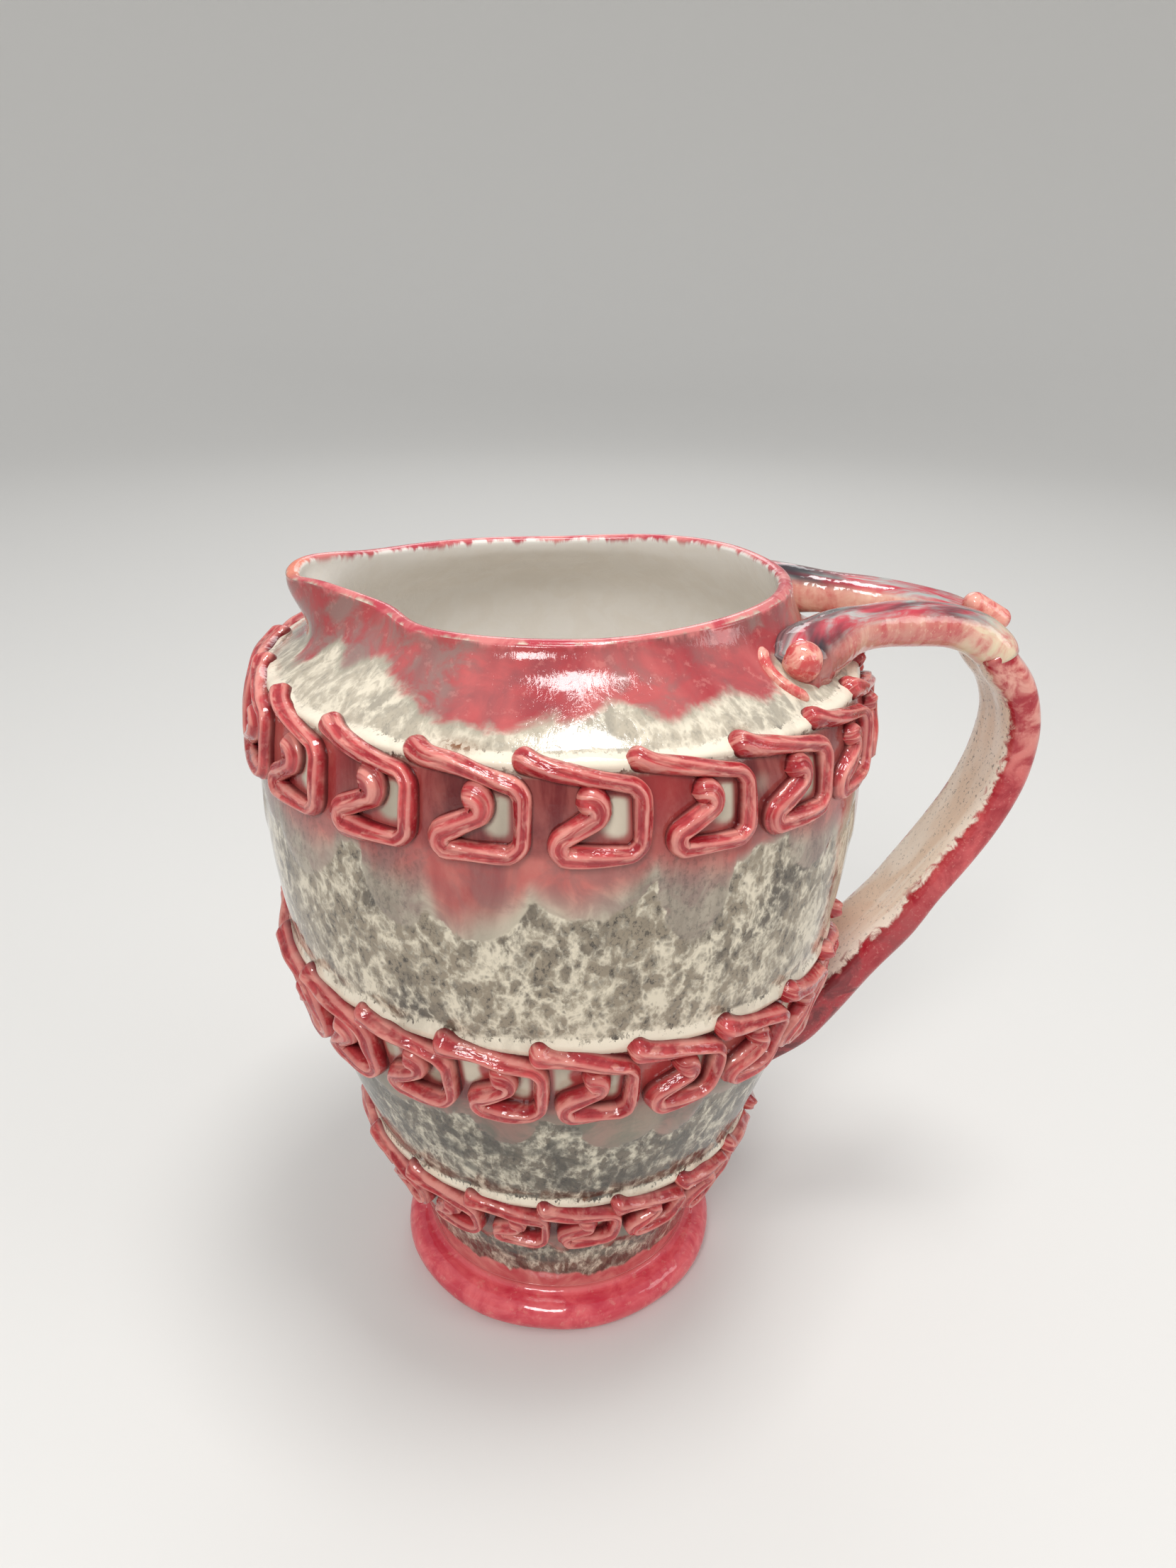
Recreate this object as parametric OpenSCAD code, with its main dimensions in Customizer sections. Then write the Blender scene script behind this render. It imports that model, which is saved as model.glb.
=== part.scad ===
// Glazed stoneware jug: a wide belly on a narrow rolled foot, a sloping shoulder with a pulled
// pouring lip, a handle that forks at its crest, and three bands of trailed running keys.
// Millimetres, +Z up. The origin is the middle of the base, on the axis of the belly.
// The handle points to +X, the lip to -X, and the front branch of the handle lies on the -Y side.

/* [Body] */
// Height of the rim above the table, away from the lip
rim_height = 215; // [209:1:221]
// Outer radius at the widest part of the belly
belly_radius = 79.7; // [77:0.1:83]
// Rise of the neck from the shoulder, where the wall turns in, to the rim
neck_rise = 18.5; // [17:0.5:20]
// Rise of the shoulder above the widest part of the belly
shoulder_rise = 30; // [27:0.5:33]
// Outer radius of the waist just above the foot
waist_radius = 41.6; // [39:0.1:44]
// Height of the waist, where the wall sits on the foot roll
waist_height = 12.6; // [11.5:0.1:13.5]
// Thickness of the wall, measured along the radius
wall_thickness = 5; // [4:0.1:6]
// Thickness of the floor
floor_thickness = 10; // [7:0.5:11]

/* [Rim and lip] */
// Outer radius of the rim, measured across the line from lip to handle
rim_radius = 52.2; // [50.5:0.1:54]
// How much further out the rim is towards the handle
rim_oval = 6.4; // [4:0.1:7.5]
// Thickness of the rim
rim_thickness = 3.6; // [3:0.1:4.2]
// How far the lip reaches beyond the rim's circle
lip_reach = 11; // [7:0.5:13]
// How far the lip rises above the rim
lip_rise = 5.5; // [3:0.5:7]
// Half angle at which the lip has mostly died away
lip_angle = 17; // [14:1:22]

/* [Foot] */
// How far the foot roll stands out beyond the waist
foot_overhang = 7.3; // [6:0.1:9]
// Radius of the roll's round edge
foot_roll = 5.3; // [4.8:0.1:5.6]
// Width of the wall's seat on the foot roll
seat_width = 5.6; // [4:0.1:8]

/* [Key bands] */
// Number of keys in the upper band
upper_count = 20; // [18:1:21]
// Number of keys in the middle band
middle_count = 21; // [19:1:22]
// Number of keys in the lower band
lower_count = 18; // [16:1:19]
// Height of the upper band's cord line below the shoulder
upper_drop = 0.8; // [0.5:0.1:1.6]
// Height of the middle band's cord line above the table
middle_height = 123.5; // [121:0.5:127]
// Height of the lower band's cord line above the table
lower_height = 58.5; // [56:0.5:59.5]
// Height of a key in the upper band, from the cord line to the bottom strand
upper_drop_height = 16.8; // [15.5:0.1:17.5]
// Height of a key in the middle band
middle_drop_height = 18.3; // [16:0.1:18.8]
// Height of a key in the lower band
lower_drop_height = 13.9; // [12:0.1:14.4]
// Turn of the upper band about the axis, in degrees
upper_turn = 4.2; // [0:0.1:18]
// Turn of the middle band about the axis, in degrees
middle_turn = 1.5; // [0:0.1:17]
// Turn of the lower band about the axis, in degrees
lower_turn = 17.8; // [0:0.1:20]
// Width of the trailed cord, as a share of the key's height
cord_width_share = 0.215; // [0.19:0.005:0.225]
// How far the upper band's cord stands proud of the wall
upper_proud = 3; // [2.4:0.1:4]
// How far the middle band's cord stands proud of the wall
middle_proud = 4.2; // [3:0.1:5]
// How far the lower band's cord stands proud of the wall
lower_proud = 4; // [3:0.1:4.6]

/* [Handle] */
// Reach of the strap's middle line beyond the belly, where it is furthest out
handle_reach = 47.5; // [44:0.5:52]
// Rise of the crest, where the strap splits into two branches, above the shoulder
crest_rise = 0.8; // [-1:0.1:2.5]
// Width of the strap
strap_width = 26; // [23:0.5:27]
// Thickness of the strap
strap_thickness = 11; // [9.5:0.1:11.6]
// Thickness of the round branches
branch_thickness = 11.8; // [10.5:0.1:12.2]
// Thickness of a branch where it is pressed on to the shoulder
root_thickness = 15; // [13:0.5:16]
// Height of the strap's tail above the lower band's cord line
tail_rise = 5; // [4:0.5:9]
// Radius of the round pellet at the end of each branch
pellet_radius = 4.8; // [4.2:0.1:5.4]
// Radius of the thumb rest in the fork
thumb_radius = 3.3; // [2.8:0.1:3.6]
// Length of the thumb rest between the middles of its round ends
thumb_length = 8.3; // [6:0.1:9]

/* [Hidden] */
// Gap left between pieces that are pressed together
seam = 0.15;
// Extra gap under the upper band, whose straight-edged cord bridges the bend of the shoulder
shoulder_lift = 0.3;
$fn = 96;

// A cubic curve through four control points
function bezier(p, t) =
    pow(1 - t, 3) * p[0] + 3 * t * pow(1 - t, 2) * p[1] + 3 * t * t * (1 - t) * p[2] + pow(t, 3) * p[3];
function arc(centre, radius, from, to, steps) =
    [for (i = [0:steps]) centre + radius * [cos(from + (to - from) * i / steps), sin(from + (to - from) * i / steps)]];
function unit(v) = v / norm(v);
function smooth(x) = let (c = min(max(x, 0), 1)) c * c * (3 - 2 * c);
function soft(x) = sign(x) * pow(abs(x), 0.6);

// Heights and radii that follow from the sizes above
shoulder_height = rim_height - neck_rise;
belly_height = shoulder_height - shoulder_rise;
belly_rise = belly_height - waist_height;
shoulder_radius = belly_radius - 3.5;
foot_radius = waist_radius + foot_overhang;
base_radius = waist_radius - seat_width;
neck_run = shoulder_radius - rim_radius;

// Outer profile of the wall as [radius, height]: belly, shoulder and neck
belly_curve = [
    [waist_radius, waist_height],
    [waist_radius + 6.5, waist_height + 0.208 * belly_rise],
    [belly_radius + 0.5, belly_height - 0.39 * belly_rise],
    [belly_radius, belly_height]];
turn_curve = [
    [belly_radius, belly_height],
    [belly_radius, belly_height + 0.4 * shoulder_rise],
    [belly_radius - 0.4, shoulder_height - 0.15 * shoulder_rise],
    [shoulder_radius, shoulder_height]];
neck_curve = [
    [shoulder_radius, shoulder_height],
    [shoulder_radius - 0.342 * neck_run, shoulder_height + 0.432 * neck_rise],
    [rim_radius + 0.083 * neck_run, shoulder_height + 0.568 * neck_rise],
    [rim_radius, rim_height]];
throat_curve = [
    [shoulder_radius - wall_thickness, shoulder_height],
    [shoulder_radius - wall_thickness - 0.3 * neck_run, shoulder_height + 0.216 * neck_rise],
    [rim_radius - rim_thickness + 0.0625 * neck_run, shoulder_height + 0.432 * neck_rise],
    [rim_radius - rim_thickness, rim_height - 0.6]];
belly_steps = 18;
turn_steps = 5;
neck_steps = 7;
belly_profile = [for (i = [0:belly_steps]) bezier(belly_curve, i / belly_steps)];
turn_profile = [for (i = [1:turn_steps]) bezier(turn_curve, i / turn_steps)];
neck_profile = [for (i = [1:neck_steps]) bezier(neck_curve, i / neck_steps)];
body_profile = concat(belly_profile, turn_profile);
wall_table = [for (p = concat(body_profile, neck_profile)) [p[1], p[0]]];
pull_table = [for (i = [0:neck_steps]) [bezier(neck_curve, i / neck_steps)[1], pull(i / neck_steps)]];
// The mouth grows oval only over the upper part of the neck
function pull(t) = smooth((t - 0.3) / 0.7);
function oval(azimuth) = rim_oval * pow(cos(azimuth), 2);
function wall_radius(z, azimuth = 90) = lookup(z, wall_table) + oval(azimuth) * lookup(z, pull_table);

// A point pushed out along its radius until it clears the wall
function clear_of_wall(p) =
    let (r = norm([p[0], p[1]]), limit = wall_radius(p[2], atan2(p[1], p[0])) + seam)
    r < limit ? [p[0] * limit / r, p[1] * limit / r, p[2]] : p;

// A point at an azimuth and height, some way out from the wall
function on_wall(azimuth, z, out) =
    let (r = wall_radius(z, azimuth) + seam + out) [r * cos(azimuth), r * sin(azimuth), z];

// A skin over a row of rings with equal numbers of points, closed at both ends or round in a loop
module loft(rings, loop = false) {
    sides = len(rings[0]);
    count = len(rings);
    last = (count - 1) * sides;
    skin = [
        for (i = [0:count - (loop ? 1 : 2)], j = [0:sides - 1])
            let (
                next = ((i + 1) % count) * sides,
                a = i * sides + j,
                b = i * sides + (j + 1) % sides,
                c = next + (j + 1) % sides,
                d = next + j)
            each [[a, b, c], [a, c, d]]];
    ends = loop ? [] : [for (j = [1:sides - 2]) each [[0, j + 1, j], [last, last + j, last + j + 1]]];
    polyhedron([for (ring = rings) each ring], concat(skin, ends));
}

// A trailed cord along a path of [azimuth, height] points, lying on the wall
module cord(path, width, height, lift = 0) {
    last = len(path) - 1;
    section = [[0.5, 0], [0.4, 0.62], [0, 1], [-0.4, 0.62], [-0.5, 0]];
    loft([
        for (i = [0:last])
            let (
                before = path[max(i - 1, 0)],
                after = path[min(i + 1, last)],
                stretch = wall_radius(path[i][1]) * PI / 180,
                along = unit([(after[0] - before[0]) * stretch, after[1] - before[1]]),
                size = i == 0 || i == last ? 0.62 : 1)
            [for (q = section)
                let (side = q[0] * width * size)
                on_wall(
                    path[i][0] + along[1] * side / stretch,
                    path[i][1] - along[0] * side,
                    lift + q[1] * height * size)]]);
}

// One stroke of a band as [across, down] in millimetres: along the cord line, down its right side, back
// along the bottom, round the knuckle, aslant up to the hairpin and into the short hook
function key_stroke(pitch, drop) =
    let (
        bend = 0.22 * drop,
        knuckle = 0.14 * drop,
        hairpin = 0.12 * drop,
        slant = 60,
        bottom = 1.04 * drop,
        right = 1.16 * pitch,
        line_end = 0.14 * drop,
        knuckle_middle = [0.56 * pitch, bottom - knuckle],
        fold = 0.81 * pitch - hairpin,
        run = fold - knuckle_middle[0] + (hairpin + knuckle) * cos(slant),
        climb = run / tan(slant) + (hairpin + knuckle) * sin(slant),
        hairpin_middle = [fold, knuckle_middle[1] - climb],
        top = hairpin_middle[1] - hairpin)
    concat(
        [[0.1 * pitch, -0.08 * drop], [0.2 * pitch, -0.07 * drop], [0.6 * pitch, 0.03 * drop]],
        arc([right - bend, line_end + bend], bend, -90, 0, 2),
        arc([right - bend, bottom - bend], bend, 0, 90, 2),
        arc(knuckle_middle, knuckle, 90, 180 + slant, 4),
        arc(hairpin_middle, hairpin, slant, -90, 4),
        [[fold - 0.06 * pitch, top], [fold - 0.13 * pitch, top + 0.01 * drop]]);

// One key of a band: the stroke laid on the wall
module key(index, count, line, drop, proud, turn, lift = 0) {
    step = 360 / count;
    stretch = wall_radius(line - drop / 2) * PI / 180;
    path = [
        for (p = key_stroke(step * stretch, drop))
            [turn + index * step + p[0] / stretch, line - p[1]]];
    cord(path, cord_width_share * drop, proud, lift);
}

module body_wall() {
    inner = [
        for (i = [len(body_profile) - 1:-1:0])
            if (body_profile[i][1] > floor_thickness + 10)
                [body_profile[i][0] - wall_thickness, body_profile[i][1]]];
    color("lightgray")
    rotate_extrude()
    polygon(concat(
        [[0, 0], [base_radius, 0], [base_radius, waist_height]],
        body_profile,
        inner,
        [[base_radius - wall_thickness, floor_thickness + 2], [base_radius - 14, floor_thickness], [0, floor_thickness]]));
}

// The shoulder and neck rise from the body to the rim, which is pulled out and up into the lip
module shoulder_collar() {
    azimuths = 72;
    outer = [for (i = [0:neck_steps]) [bezier(neck_curve, i / neck_steps), i / neck_steps]];
    crown = [[[rim_radius - rim_thickness * 0.45, rim_height + 0.8], 1]];
    inner = [for (i = [neck_steps:-1:0]) [bezier(throat_curve, i / neck_steps), i / neck_steps]];
    section = concat(outer, crown, inner);
    color("indianred")
    translate([0, 0, seam / 3])
    loft([
        for (k = [0:azimuths - 1])
            let (
                azimuth = 360 * k / azimuths,
                lip = exp(-pow((azimuth - 180) / lip_angle, 2)))
            [for (s = section)
                let (r = s[0][0] + (oval(azimuth) + lip_reach * lip) * pull(s[1]))
                [r * cos(azimuth), r * sin(azimuth), s[0][1] + lip_rise * lip * pull(s[1])]]],
        loop = true);
}

module foot_ring() {
    top_turn = 72;
    roll = arc([foot_radius - foot_roll, foot_roll], foot_roll, -75, top_turn, 14);
    color("crimson")
    rotate_extrude()
    polygon(concat(
        [[base_radius + seam, 0]],
        [[roll[0][0], 0]],
        roll,
        [[waist_radius, waist_height - seam], [base_radius + seam, waist_height - seam]]));
}

module upper_key(index) {
    line = shoulder_height - upper_drop;
    color("firebrick")
    key(index, upper_count, line, upper_drop_height, upper_proud, upper_turn, shoulder_lift);
}

module middle_key(index) {
    color("firebrick")
    key(index, middle_count, middle_height, middle_drop_height, middle_proud, middle_turn);
}

module lower_keys() {
    color("firebrick")
    for (index = [0:lower_count - 1])
        key(index, lower_count, lower_height, lower_drop_height, lower_proud, lower_turn);
}

// Middle line of the strap as [radius, height], from the fork down to the tail on the wall
// The upper points are shares of the reach and of the drop, and the lower ones stand off the wall
crest_height = shoulder_height + crest_rise;
tail_height = lower_height + tail_rise;
strap_drop = crest_height - tail_height;
function strap_point(back, down) = [belly_radius + handle_reach * (1 - back), crest_height - down * strap_drop];
function off_wall(up, out) = let (z = tail_height + up * strap_drop) [wall_radius(z) + out, z];
fork = strap_point(0.246, 0);
fork_lean = unit([0.54, -0.84]);
strap_line = [
    fork,
    fork + strap_thickness / 2 * fork_lean,
    strap_point(0.076, 0.082),
    strap_point(0.013, 0.142),
    strap_point(0, 0.202),
    strap_point(0.038, 0.284),
    strap_point(0.135, 0.374),
    strap_point(0.274, 0.46),
    strap_point(0.434, 0.546),
    off_wall(0.377, 0.564 * handle_reach),
    off_wall(0.299, 0.434 * handle_reach),
    off_wall(0.2205, 0.324 * handle_reach),
    off_wall(0.1495, 0.24 * handle_reach),
    off_wall(0.0747, 0.745 * strap_thickness),
    off_wall(0, 0.49 * strap_thickness)];

module handle_strap() {
    sides = 14;
    last = len(strap_line) - 1;
    color("indianred")
    loft([
        for (i = [0:last])
            let (
                before = strap_line[max(i - 1, 0)],
                after = strap_line[min(i + 1, last)],
                along = i == 0 ? fork_lean : unit(after - before),
                out = [-along[1], along[0]],
                swell = smooth((i - last + 7) / 4),
                taper = smooth((i - last + 1.5) / 1.5),
                thick = strap_thickness / 2 * (1 + 0.2 * swell - 0.45 * taper),
                wide = strap_width / 2 * (1 + 0.08 * swell - 0.35 * taper))
            [for (j = [0:sides - 1])
                let (
                    angle = 360 * j / sides,
                    p = strap_line[i] + out * thick * soft(cos(angle)),
                    swing = wide * soft(sin(angle)) / p[0] * 180 / PI)
                clear_of_wall([p[0] * cos(swing), p[0] * sin(swing), p[1]])]]);
}

// Middle line of a branch from the fork to its root on the shoulder, on the -Y side
root_azimuth = -35;
root_radius = wall_radius(shoulder_height + 0.486 * neck_rise, root_azimuth);
root_point = root_radius * [cos(root_azimuth), sin(root_azimuth)];
branch_line = let (reach = fork[0] - root_point[0], spread = root_point[1]) [
    [fork[0], -strap_width / 4 - seam, crest_height],
    [fork[0] - 0.09 * reach, spread * 0.19, crest_height + 0.227 * neck_rise],
    [fork[0] - 0.21 * reach, spread * 0.22, crest_height + 0.368 * neck_rise],
    [fork[0] - 0.37 * reach, spread * 0.29, crest_height + 0.454 * neck_rise],
    [fork[0] - 0.54 * reach, spread * 0.4, crest_height + 0.508 * neck_rise],
    [fork[0] - 0.72 * reach, spread * 0.57, crest_height + 0.508 * neck_rise],
    [fork[0] - 0.88 * reach, spread * 0.81, crest_height + 0.486 * neck_rise],
    [root_point[0], spread, crest_height + 0.476 * neck_rise]];

module branch() {
    sides = 14;
    last = len(branch_line) - 1;
    fork_along = [-fork_lean[0], 0, -fork_lean[1]];
    loft([
        for (i = [0:last])
            let (
                before = branch_line[max(i - 1, 0)],
                after = branch_line[min(i + 1, last)],
                along = i == 0 ? fork_along : unit(after - before),
                side = unit(cross(along, [0, 0, 1])),
                up = cross(side, along),
                swell = smooth((i - last + 4) / 3),
                thick = (branch_thickness + (root_thickness - branch_thickness) * swell) / 2,
                size = i == last ? 0.72 : 1,
                wide = (i == 0 ? strap_width / 4 : thick) * size,
                middle = branch_line[i] + (i == 0 ? fork_along * seam : [0, 0, 0]))
            [for (j = [0:sides - 1])
                clear_of_wall(
                    middle - side * wide * sin(360 * j / sides) + up * thick * size * cos(360 * j / sides))]]);
}

module front_branch() {
    color("salmon")
    branch();
}

module rear_branch() {
    color("salmon")
    mirror([0, 1, 0])
    branch();
}

// A flattened roll of clay lying in the fork, along the crest
module thumb_rest() {
    slope = 29;
    profile = concat(
        [[0, -thumb_length / 2 - thumb_radius]],
        arc([0, -thumb_length / 2], thumb_radius, -75, 0, 6),
        arc([0, thumb_length / 2], thumb_radius, 0, 75, 6),
        [[0, thumb_length / 2 + thumb_radius]]);
    color("salmon")
    translate([fork[0] - 0.4, 0, crest_height + branch_thickness / 2 + 2.4])
    rotate([0, 90 + slope, 0])
    rotate_extrude()
    polygon(profile);
}

// The pellet at a branch's end rests on the shoulder, with a crescent ridge round its outer side
pellet_azimuth = root_azimuth - 5.5;
pellet_foot = shoulder_height + 0.46 * neck_rise;

module pellet() {
    lean = atan2(
        wall_radius(pellet_foot - 2, pellet_azimuth) - wall_radius(pellet_foot + 2, pellet_azimuth),
        4);
    r = wall_radius(pellet_foot, pellet_azimuth) + (pellet_radius + seam) * cos(lean);
    z = pellet_foot + (pellet_radius + seam) * sin(lean);
    translate([r * cos(pellet_azimuth), r * sin(pellet_azimuth), z])
    sphere(pellet_radius);
}

module front_pellet() {
    color("tomato")
    pellet();
}

module rear_pellet() {
    color("tomato")
    mirror([0, 1, 0])
    pellet();
}

module ridge() {
    away = (pellet_radius + 2.6) / wall_radius(pellet_foot) * 180 / PI;
    path = [
        for (angle = [-75:15:75])
            [pellet_azimuth - away * cos(angle), pellet_foot - 0.5 + 5 * sin(angle)]];
    cord(path, 3, 2.6, shoulder_lift);
}

module front_ridge() {
    color("indianred")
    ridge();
}

module rear_ridge() {
    color("indianred")
    mirror([0, 1, 0])
    ridge();
}

UPPER_KEYS = [for (i = [1:upper_count]) str("upper_key_", i)];
MIDDLE_KEYS = [for (i = [1:middle_count]) str("middle_key_", i)];

body_wall();
shoulder_collar();
foot_ring();
handle_strap();
front_branch();
rear_branch();
thumb_rest();
front_pellet();
rear_pellet();
front_ridge();
rear_ridge();
lower_keys();
for (i = [1:upper_count])
    upper_key(i - 1);
for (i = [1:middle_count])
    middle_key(i - 1);
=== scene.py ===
import math

import bpy
import numpy as np
from mathutils import Matrix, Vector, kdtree


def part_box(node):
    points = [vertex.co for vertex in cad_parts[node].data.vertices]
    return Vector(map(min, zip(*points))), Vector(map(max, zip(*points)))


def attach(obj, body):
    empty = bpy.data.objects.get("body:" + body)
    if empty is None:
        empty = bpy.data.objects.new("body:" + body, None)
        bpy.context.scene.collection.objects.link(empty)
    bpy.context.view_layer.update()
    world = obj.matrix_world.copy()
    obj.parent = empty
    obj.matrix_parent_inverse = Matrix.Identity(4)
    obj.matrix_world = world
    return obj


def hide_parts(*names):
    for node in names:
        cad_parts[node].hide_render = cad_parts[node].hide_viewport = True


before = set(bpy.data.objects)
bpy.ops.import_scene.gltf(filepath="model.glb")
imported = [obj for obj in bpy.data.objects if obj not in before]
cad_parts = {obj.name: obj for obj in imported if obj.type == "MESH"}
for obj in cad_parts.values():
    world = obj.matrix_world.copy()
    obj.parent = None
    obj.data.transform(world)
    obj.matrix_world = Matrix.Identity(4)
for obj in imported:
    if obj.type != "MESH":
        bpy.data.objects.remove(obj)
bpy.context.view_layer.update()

# The thrown wall: floor, belly, shoulder and neck in one skin of stoneware about 5 mm thick.
# It is thrown on the wheel and its lip is pulled out with a finger. Cream, grey-green and red glazes are
# poured over it, run down from the rim and from each band, and break up into a lace where they are thin.
waist = (41.6, 12.6)
belly = (79.7, 166.5)
shoulder = (76.2, 196.5)
rim = (52.2, 215.0)
wall_thickness = 5.0
base_radius = 36.0
rim_oval = 6.4
lip_reach = 11.0
lip_rise = 5.5
lip_angle = 15.0
lip_pinch = 4.5
lip_droop = 2.0
rim_tilt = 2.2
lip_spread = 27.0
pinch_angle, pinch_spread = 31, 12
droop_angle, droop_spread = 3, 7
back_square, back_flat = 2.2, 1.2
crown_middle, crown_size = (50.4, 214.5), (1.9, 1.3)
mm = 0.001


def cubic(start, first, second, end, count):
    """Points in millimetres on a curve drawn through two handles."""
    t = np.linspace(0, 1, count)[:, None]
    start, first, second, end = (np.array(p, float) for p in (start, first, second, end))
    return (1 - t) ** 3 * start + 3 * t * (1 - t) ** 2 * first + 3 * t * t * (1 - t) * second + t ** 3 * end


def smooth(x):
    x = np.clip(x, 0, 1)
    return x * x * (3 - 2 * x)


def pull(share):
    """How much of the mouth's oval and of the lip is felt at this share of the neck."""
    return smooth((share - 0.3) / 0.7)


belly_line = cubic(waist, (48.1, 44.6), (80.2, 106.5), belly, 116)
turn_line = cubic(belly, (79.7, 178.5), (79.3, 192.0), shoulder, 30)
neck_line = cubic(shoulder, (68.0, 204.5), (54.2, 207.0), rim, 40)
throat_line = cubic((48.6, 214.4), (50.5, 205.0), (71.5, 204.5), (74.4, 181.0), 34)
outer_line = np.vstack([belly_line, turn_line[1:], neck_line[1:]])
neck_start = len(belly_line) + len(turn_line) - 2
crown_turn = np.radians(np.linspace(25, 155, 7))
crown_line = np.column_stack([np.cos(crown_turn), np.sin(crown_turn)]) * crown_size + crown_middle
inside_heights = np.linspace(178.0, 23.0, 50)


def wall_radius(height):
    """Outer radius of the thrown wall at a height, in millimetres, away from the lip."""
    return np.interp(height, outer_line[:, 1], outer_line[:, 0])


def mouth(angle):
    """How far the mouth stands out from a round one at an angle in degrees: oval, squarer behind, lipped."""
    from_lip = np.asarray(angle, float) % 360 - 180
    turned = np.radians(angle)
    oval = rim_oval * np.cos(turned) ** 2
    behind = smooth(2 * np.sin(turned))
    squarer = behind * (back_square * np.sin(2 * turned) ** 2 - back_flat * np.sin(turned) ** 6)
    pinched = lip_pinch * np.exp(-((from_lip - pinch_angle) / pinch_spread) ** 2)
    return oval + squarer + lip_reach * np.exp(-(from_lip / lip_angle) ** 2) - pinched


def wall_reach(height, angle):
    """Outer radius of the wall at a height and an angle, in millimetres and degrees."""
    share = np.interp(height, neck_line[:, 1], np.linspace(0, 1, len(neck_line)))
    return wall_radius(height) + mouth(angle) * pull(share)


inside_line = np.column_stack([wall_radius(inside_heights) - wall_thickness, inside_heights])
floor_line = cubic(inside_line[-1], (37.0, 14.0), (30.0, 10.0), (15.0, 10.0), 14)[1:]
rows = np.vstack([
    [[base_radius * 0.5, 0.0], [base_radius - 0.6, 0.0], [base_radius, 0.6], [base_radius, waist[1]]],
    outer_line, crown_line, throat_line, inside_line, floor_line])
outer_from = 4
outer_to = outer_from + len(outer_line)
throat_from = outer_to + len(crown_line)
throat_to = throat_from + len(throat_line)
neck_share = np.zeros(len(rows))
neck_share[outer_from + neck_start:outer_to] = np.linspace(0, 1, outer_to - outer_from - neck_start)
neck_share[outer_to:throat_from] = 1
neck_share[throat_from:throat_to] = np.linspace(1, 0, throat_to - throat_from)

turns = 480
azimuth = np.linspace(-180, 180, turns, endpoint=False)
turn = np.radians(azimuth)
draw = np.random.default_rng(seed=11)


def wave(angle, slowest, fastest):
    """An uneven edge that closes on itself round the jug, between about -1 and 1."""
    total = np.zeros_like(angle)
    for number in range(slowest, fastest + 1):
        total += np.cos(number * angle + draw.uniform(0, 2 * math.pi)) * draw.uniform(0.4, 1.0)
    return total / math.sqrt(0.3 * (fastest - slowest + 1)) / 1.6


# The three bands of keys, where the runs of glaze start. Each has its count of strokes, the height of its
# rail, its drop, its first angle, and how proud, how wide (a share of the drop) and how lifted its cord is.
bands = {
    "upper": dict(count=20, line=195.7, drop=16.8, start=4.2, proud=3.0, width=0.29, lift=0.3),
    "middle": dict(count=21, line=123.5, drop=18.3, start=1.5, proud=4.2, width=0.265, lift=0.0),
    "lower": dict(count=18, line=58.5, drop=13.9, start=17.8, proud=4.0, width=0.275, lift=0.0),
}


def bow(centre, radius, start, end, count):
    """A round bend of a stroke, in millimetres across and down."""
    angles = np.radians(np.linspace(start, end, count))
    return [(centre[0] + radius * math.cos(a), centre[1] + radius * math.sin(a)) for a in angles]


def flowing(points, count):
    """A smooth line through the points, with evenly spaced steps."""
    points = np.array(points, float)
    padded = np.vstack([2 * points[0] - points[1], points, 2 * points[-1] - points[-2]])
    dense = []
    for i in range(1, len(padded) - 2):
        a, b, c, d = padded[i - 1:i + 3]
        for t in np.linspace(0, 1, 12, endpoint=False):
            dense.append(0.5 * (2 * b + (c - a) * t + (2 * a - 5 * b + 4 * c - d) * t * t
                                + (3 * b - a - 3 * c + d) * t ** 3))
    dense = np.array(dense + [points[-1]])
    along = np.concatenate([[0], np.cumsum(np.linalg.norm(np.diff(dense, axis=0), axis=1))])
    even = np.linspace(0, along[-1], count)
    return np.column_stack([np.interp(even, along, dense[:, k]) for k in range(dense.shape[1])])


def stroke_line(band, index):
    """Azimuth and height along one stroke: the rail, the fall, the return, the hairpin and the hook."""
    drop = band["drop"]
    step = 360 / band["count"]
    stretch = float(wall_radius(band["line"] - drop / 2)) * math.pi / 180
    pitch = step * stretch
    bend, knuckle, hairpin, slant = 0.22 * drop, 0.14 * drop, 0.12 * drop, math.radians(60)
    bottom, right, fold = 1.04 * drop, 1.16 * pitch, 0.81 * pitch - hairpin
    run_across = fold - 0.56 * pitch + (hairpin + knuckle) * math.cos(slant)
    climb = run_across / math.tan(slant) + (hairpin + knuckle) * math.sin(slant)
    hairpin_level = bottom - knuckle - climb
    shift = draw.normal(0, 0.014, 4) * pitch
    points = [(0.05 * pitch, -0.12 * drop), (0.13 * pitch, -0.1 * drop), (0.3 * pitch, -0.04 * drop),
              (0.62 * pitch, 0.03 * drop + shift[3])]
    points += bow((right - bend + shift[0], 0.14 * drop + bend), bend, -90, 0, 4)
    points += bow((right - bend + shift[0], bottom - bend), bend, 0, 90, 4)
    points += bow((0.56 * pitch + shift[1], bottom - knuckle), knuckle, 90, 240, 6)
    points += bow((fold + shift[2], hairpin_level), hairpin, 60, -100, 6)
    points += [(fold + shift[2] - 0.1 * pitch, hairpin_level - 0.1 * drop)]
    path = flowing(points, 120)
    return np.column_stack([band["start"] + index * step + path[:, 0] / stretch, band["line"] - path[:, 1]])


strokes = {name: [stroke_line(band, i) for i in range(band["count"])] for name, band in bands.items()}

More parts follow.
